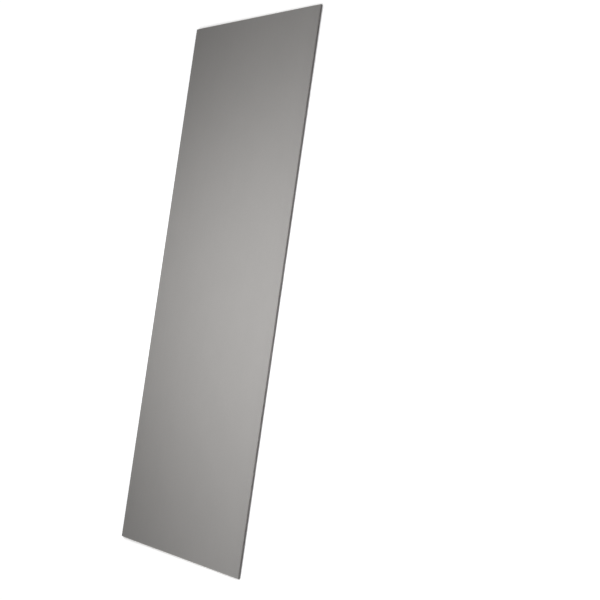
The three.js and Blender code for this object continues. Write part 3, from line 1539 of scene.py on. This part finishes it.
@dataclass
class GypsumCore:
    """The cast core, with its two ends sawn and pitted."""

    section: WrapSection  # the section that it fills
    material: bpy.types.Material  # its finish
    grid: float = 0.62 * MM  # step of the grid over each sawn end
    recess: float = 0.2 * MM  # how far behind the sheet's end the highest places of the sawn face lie
    roughness: float = 0.75 * MM  # depth of the sawn face's unevenness
    roughness_scale: float = 260.0  # its features in a metre
    pit_depth: float = 0.9 * MM  # depth of the opened air bubbles
    pit_scale: float = 250.0  # cells of their pattern in a metre
    pit_share: float = 0.3  # which share of the cells holds one
    worn_rim: float = 0.4  # how much of all that depth is left along the face's rim
    seed: int = 8  # seed of the unevenness and the bubbles
    plain_columns: float = 40 * MM  # step between columns away from the ends, where the papers hide the core
    plain_heights: int = 5  # points in each of those columns
    plain_rows: float = 250 * MM  # step between rows there
    skirt: float = 4 * MM  # how far from the end the first of those rows is

    def end_grid(self, spacing: float, rows: int) -> np.ndarray:
        """Lays a grid over the section, with a column at each of its corners.

        Args:
            spacing: The largest step between columns.
            rows: How many points each column has.

        Returns:
            Points in X and Z, as an array of rows by columns by 2.
        """
        size, flap_end = self.section.size, self.section.flap_end
        line, place = self.section.line(size.face_paper, spacing)
        above = np.abs(line[np.abs(place) < Run.BACK_TURN, 0])
        right = np.unique(np.round([*above, flap_end - STEP_RUN, flap_end], DECIMALS))
        right = right[np.concatenate([[True], np.diff(right) > SLIVER])]
        columns = np.concatenate([-right[:0:-1], right])

        line, place = self.section.line(size.face_paper, CLOSE)
        front = line[(place >= 0) & (place <= Run.EDGE)]
        step = np.array([[flap_end - STEP_RUN, size.back_paper]])
        back = np.concatenate([step, line[place >= Run.BACK_TURN][::-1]])
        top, bottom = (np.interp(np.abs(columns), side[:, 0], side[:, 1]) for side in (front, back))
        share = np.linspace(0, 1, rows)[:, None]
        heights = bottom * (1 - share) + top * share
        return np.stack([np.broadcast_to(columns, heights.shape), heights], axis=2)

    @staticmethod
    def rim(grid: np.ndarray, weight: float) -> tuple[list[tuple[int, int]], Outline]:
        """Walks round the edge of a grid, over the front and back along the underside.

        Args:
            grid: The grid of points.
            weight: How much the points on the way may be roughened.

        Returns:
            The row and column of each point on the way, and the outline that they make.
        """
        rows, columns = grid.shape[:2]
        across = (grid[0, :, 0] - grid[0, 0, 0]) / (grid[0, -1, 0] - grid[0, 0, 0])
        up = np.linspace(0, 1, rows)
        walk = [(rows - 1, c) for c in range(columns)]
        walk += [(r, columns - 1) for r in range(rows - 2, -1, -1)]
        walk += [(0, c) for c in range(columns - 2, -1, -1)]
        walk += [(r, 0) for r in range(1, rows - 1)]
        places = np.array([*across, *(2 - up[-2::-1]), *(3 - across[-2::-1]), *(3 + up[1:-1])])
        return walk, Outline(np.array([grid[step] for step in walk]), places, SIDES, weight)

    def sawn_end(self, draft: MeshDraft, grid: np.ndarray, end: CutEnd) -> Ring:
        """Adds one sawn end as a close grid.

        Args:
            draft: The mesh so far.
            grid: The grid of points in X and Z.
            end: Which end it is.

        Returns:
            The ring round the grid.
        """
        rows, columns = grid.shape[:2]
        y = end.value * (self.section.size.half_length - self.recess)
        walk, outline = self.rim(grid, self.worn_rim)
        ring = draft.add_ring(outline, y)
        index = np.empty((rows, columns), int)
        for number, step in enumerate(walk):
            index[step] = ring.index(number)
        inside = grid[1:-1, 1:-1].reshape(-1, 2)
        first = draft.add_points(inside, y, 1.0)
        index[1:-1, 1:-1] = np.arange(first, first + len(inside)).reshape(rows - 2, columns - 2)
        corners = np.stack([index[:-1, :-1], index[:-1, 1:], index[1:, 1:], index[1:, :-1]], axis=2)
        draft.faces += [tuple(face) for face in corners.reshape(-1, 4).tolist()]
        return ring

    def build(self, roughen: GeometryTool) -> bpy.types.Object:
        """Builds and dresses the core.

        Args:
            roughen: The tool that roughens and pits the sawn ends.

        Returns:
            The piece.
        """
        size = self.section.size
        rows = round((size.thickness - size.face_paper - size.back_paper) / self.grid) + 1
        dense = self.end_grid(self.grid, rows)
        plain = self.end_grid(self.plain_columns, self.plain_heights)
        draft = MeshDraft()
        near, far = (self.sawn_end(draft, dense, end) for end in CutEnd)
        _, outline = self.rim(plain, 0.0)
        inner = size.half_length - self.skirt
        places = np.linspace(-inner, inner, math.ceil(2 * inner / self.plain_rows) + 1)
        draft.join_chain([near, *(draft.add_ring(outline, float(y)) for y in places), far])
        piece = draft.to_object("dressed_gypsum_core")
        roughen.run(
            piece,
            self.material,
            Depth=self.roughness,
            Scale=self.roughness_scale,
            Along_Y=True,
            Seed=self.seed,
            Pit_Depth=self.pit_depth,
            Pit_Scale=self.pit_scale,
            Pit_Share=self.pit_share,
        )
        return finish_piece(piece, Slot.GYPSUM, "gypsum_core")


@dataclass
class SawnTrim:
    """What sawing leaves along the two ends: raised paper fibres and loose gypsum crumbs."""

    section: WrapSection  # the sheet's section
    fibre_spacing: float = 0.95 * MM  # about how far apart fibres stand along a cut edge
    fibre_length: float = 1.3 * MM  # length of the longest fibres, not counting their curl
    fibre_radius: float = 0.028 * MM  # half their thickness
    root_depth: float = 0.15 * MM  # how far inside the end they are rooted
    wire_step: float = 4 * MM  # largest step along the line that they follow
    fibre_seed: int = 17  # seed of the fibres
    crumb_density: float = 20000.0  # crumbs for each square metre of sawn core
    crumb_size: float = 0.8 * MM  # size of the largest crumbs before they are knocked out of round
    crumb_seed: int = 29  # seed of the crumbs

    def wire(self, name: str, line: np.ndarray) -> bpy.types.Object:
        """Makes a wire mesh that runs along a paper's cut edge at both ends.

        Args:
            name: The piece's name.
            line: The line in X and Z that it follows.

        Returns:
            The wire.
        """
        half = self.section.size.half_length - self.root_depth
        points: list[Point] = []
        edges: list[tuple[int, int]] = []
        for end in CutEnd:
            edges += [(len(points) + i, len(points) + i + 1) for i in range(len(line) - 1)]
            points += [(float(x), end.value * half, float(z)) for x, z in line]
        mesh = bpy.data.meshes.new(name)
        mesh.from_pydata(points, edges, [])
        return link_object(name, mesh)

    def fibres(
        self, slot: Slot, line: np.ndarray, tool: GeometryTool, material: bpy.types.Material
    ) -> bpy.types.Object:
        """Sets fibres along a paper's cut edge at both ends.

        Args:
            slot: The paper's slot.
            line: The line in X and Z that they follow.
            tool: The fibre tool.
            material: The fibres' finish.

        Returns:
            The piece.
        """
        piece = self.wire(f"{slot.value}_fibres", line)
        count = round(2 * self.section.size.half_width / self.fibre_spacing)
        sizes = {"Length": self.fibre_length, "Radius": self.fibre_radius}
        tool.run(piece, material, Count=count, Seed=self.fibre_seed, **sizes)
        return finish_piece(piece, slot)

    def crumbs(
        self, core: bpy.types.Object, tool: GeometryTool, material: bpy.types.Material
    ) -> bpy.types.Object:
        """Scatters crumbs over both sawn ends of the core.

        Args:
            core: The finished core.
            tool: The crumb tool.
            material: The crumbs' finish.

        Returns:
            The piece.
        """
        piece = link_object("sawing_crumbs", core.data.copy())
        sizes = {"Density": self.crumb_density, "Size": self.crumb_size}
        tool.run(piece, material, Seed=self.crumb_seed, **sizes)
        return finish_piece(piece, Slot.GYPSUM)


# ---------------------------------------------------------------------------------------------------
# Studio
# ---------------------------------------------------------------------------------------------------


def hang(name: str, data: bpy.types.ID, place: Point, aim: Point, roll: float = 0.0) -> bpy.types.Object:
    """Hangs a lamp or camera in its place, pointing at something.

    Args:
        name: Its name.
        data: The lamp or camera.
        place: Where it goes.
        aim: What it points at.
        roll: How far it is turned about its own axis from level.

    Returns:
        The object.
    """
    hung = link_object(name, data)
    level = (Vector(aim) - Vector(place)).to_track_quat("-Z", "Y").to_matrix().to_4x4()
    hung.matrix_world = Matrix.Translation(place) @ level @ Matrix.Rotation(roll, 4, "Z")
    return hung


@dataclass(frozen=True)
class Softbox:
    """One soft rectangular lamp."""

    name: str  # its name
    place: Point  # its middle, from the middle of the sheet's back
    aim: Point  # where it points
    width: float  # its level side
    height: float  # its other side
    spread: float  # the full angle of its beam
    power: float  # its power in watts

    def build(self) -> None:
        """Hangs the lamp."""
        data = bpy.data.lights.new(self.name, "AREA")
        data.shape = "RECTANGLE"
        data.size, data.size_y = self.width, self.height
        data.spread = self.spread
        data.energy = self.power
        hang(self.name, data, self.place, self.aim).visible_camera = False


LAMPS = (
    Softbox(
        name="softbox",
        place=(-1.3, 0.283, 3.555),
        aim=(1.818, -0.376, 0.013),
        width=1.67,
        height=2.82,
        spread=math.radians(65.4),
        power=33.4,
    ),
    # Two low strips light the sawn ends and hardly graze the front.
    *(
        Softbox(
            name=f"{end.name.lower()}_strip",
            place=(0.0, end.value * 3.12, 0.125),
            aim=(0.0, end.value * 1.5, 0.006),
            width=1.2,
            height=0.15,
            spread=math.pi,
            power=15.0,
        )
        for end in CutEnd
    ),
)


@dataclass(frozen=True)
class CameraStand:
    """The camera off one long edge, looking down across the sheet."""

    place: Point = (6.4419, -0.3955, 4.2359)  # where it stands
    aim: Point = (0.8003, -0.0518, 0.0127)  # where its axis meets the plane of the sheet's front
    roll: float = math.radians(-79.75)  # how far it is turned about its axis
    lens: float = 82.57  # its focal length in millimetres
    sensor: float = 36.0  # width of its sensor in millimetres

    def build(self) -> None:
        """Sets the camera up."""
        data = bpy.data.cameras.new("camera")
        data.lens = self.lens
        data.sensor_width = self.sensor
        bpy.context.scene.camera = hang("camera", data, self.place, self.aim, self.roll)


@dataclass(frozen=True)
class Surround:
    """The plain white floor and the even light from all round."""

    half: float = 40.0  # half the floor's side
    paint: float = 0.72  # what the floor reflects
    roughness: float = 0.9  # the floor's roughness
    shine: float = 0.1  # its specular level
    lift: float = 0.87  # what the camera sees of the floor besides the light on it
    shade_samples: int = 12  # rays that a spot of the floor sends out to find the sheet, for the soft contact shadow painted into its glow
    shade_reach: float = 60 * MM  # how far they go
    shade_depth: float = 3.0  # how dark the painted shadow is, as a power of the share of them that miss
    fill: float = 0.22  # strength of the even light

    def build(self) -> None:
        """Lays the floor and lights the world."""
        mesh = bpy.data.meshes.new("floor")
        sides = ((-1, -1), (1, -1), (1, 1), (-1, 1))
        mesh.from_pydata([(x * self.half, y * self.half, 0.0) for x, y in sides], [], [(0, 1, 2, 3)])
        mesh.materials.append(self.floor_paint())
        link_object("floor", mesh)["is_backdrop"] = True

        world = bpy.data.worlds.new("studio")
        bpy.context.scene.world = world
        world.use_nodes = True
        build = TreeBuilder(world.node_tree)
        strength = build.weighted(self.fill, (self.seen_directly(build), 1.0 - self.fill))
        build.feed(world.node_tree.nodes["Background"], Color=WHITE, Strength=strength)

    def floor_paint(self) -> bpy.types.Material:
        """Mixes a paint that looks white, with a contact shadow painted into its glow besides the real
        shadow on its diffuse paint.

        Returns:
            The material.
        """
        build = MaterialDraft("floor_white")
        # Painted shadow: ambient occlusion darkens the glow that lifts the floor to white, a soft contact
        # shadow round the sheet that no lamp casts.
        gathered = {"samples": self.shade_samples}
        around = build.add("ShaderNodeAmbientOcclusion", gathered, Distance=self.shade_reach)
        shade = build.math("POWER", around.outputs["AO"], self.shade_depth)
        return build.close(
            Base_Color=(self.paint, self.paint, self.paint, 1.0),
            Roughness=self.roughness,
            Specular_IOR_Level=self.shine,
            Emission_Color=WHITE,
            Emission_Strength=build.product(self.seen_directly(build), self.lift, shade),
        )

    @staticmethod
    def seen_directly(build: TreeBuilder) -> Socket:
        """Makes a mask of what the camera, a reflection or a clear body shows.

        Args:
            build: The builder of the material or world.

        Returns:
            The mask, 0 or 1.
        """
        path = build.add("ShaderNodeLightPath").outputs
        mirrored = build.math("MAXIMUM", path["Is Glossy Ray"], path["Is Transmission Ray"])
        return build.math("MAXIMUM", path["Is Camera Ray"], mirrored)


def report(piece: bpy.types.Object) -> None:
    """Logs a piece's name and its number of triangles."""
    piece.data.calc_loop_triangles()
    log.info("%s: %d triangles", piece.name, len(piece.data.loop_triangles))


def write_sizes() -> None:
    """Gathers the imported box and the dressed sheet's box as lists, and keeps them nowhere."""
    boxes = {"cad": cad_box, "visual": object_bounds()}
    {name: [list(corner) for corner in box] for name, box in boxes.items()}


def main() -> None:
    """Builds the sheet piece by piece, then the studio."""
    logging.basicConfig(level=logging.INFO, format="%(name)s: %(message)s")
    bpy.context.scene.view_settings.view_transform = "Standard"
    size = BoardSize.from_frame()
    section = WrapSection(size)
    shared = SharedGroups.make(size)
    face_finish = FACE_PAPER_FINISH.make(shared)
    back_finish = BACK_PAPER_FINISH.make(shared)
    gypsum_finish = GYPSUM_FINISH.make(shared)

    roughen, fibres, trim = roughen_tool(), fibre_tool(), SawnTrim(section)
    core = GypsumCore(section, gypsum_finish).build(roughen)
    face = FacePaper(section, face_finish).build(roughen)
    back = BackPaper(section, back_finish).build(roughen)
    wrap, _ = section.line(size.face_paper / 2, trim.wire_step)
    across = np.array([[side * size.back_half_width, size.back_paper / 2] for side in (-1, 1)])
    face_burr = trim.fibres(Slot.FACE_PAPER, wrap, fibres, face_finish)
    back_burr = trim.fibres(Slot.BACK_PAPER, across, fibres, back_finish)
    crumbs = trim.crumbs(core, crumb_tool(), gypsum_finish)
    for piece in (core, face, back, face_burr, back_burr, crumbs):
        report(piece)

    Surround().build()
    for lamp in LAMPS:
        lamp.build()
    CameraStand().build()
    write_sizes()


if __name__ == "__main__":
    main()
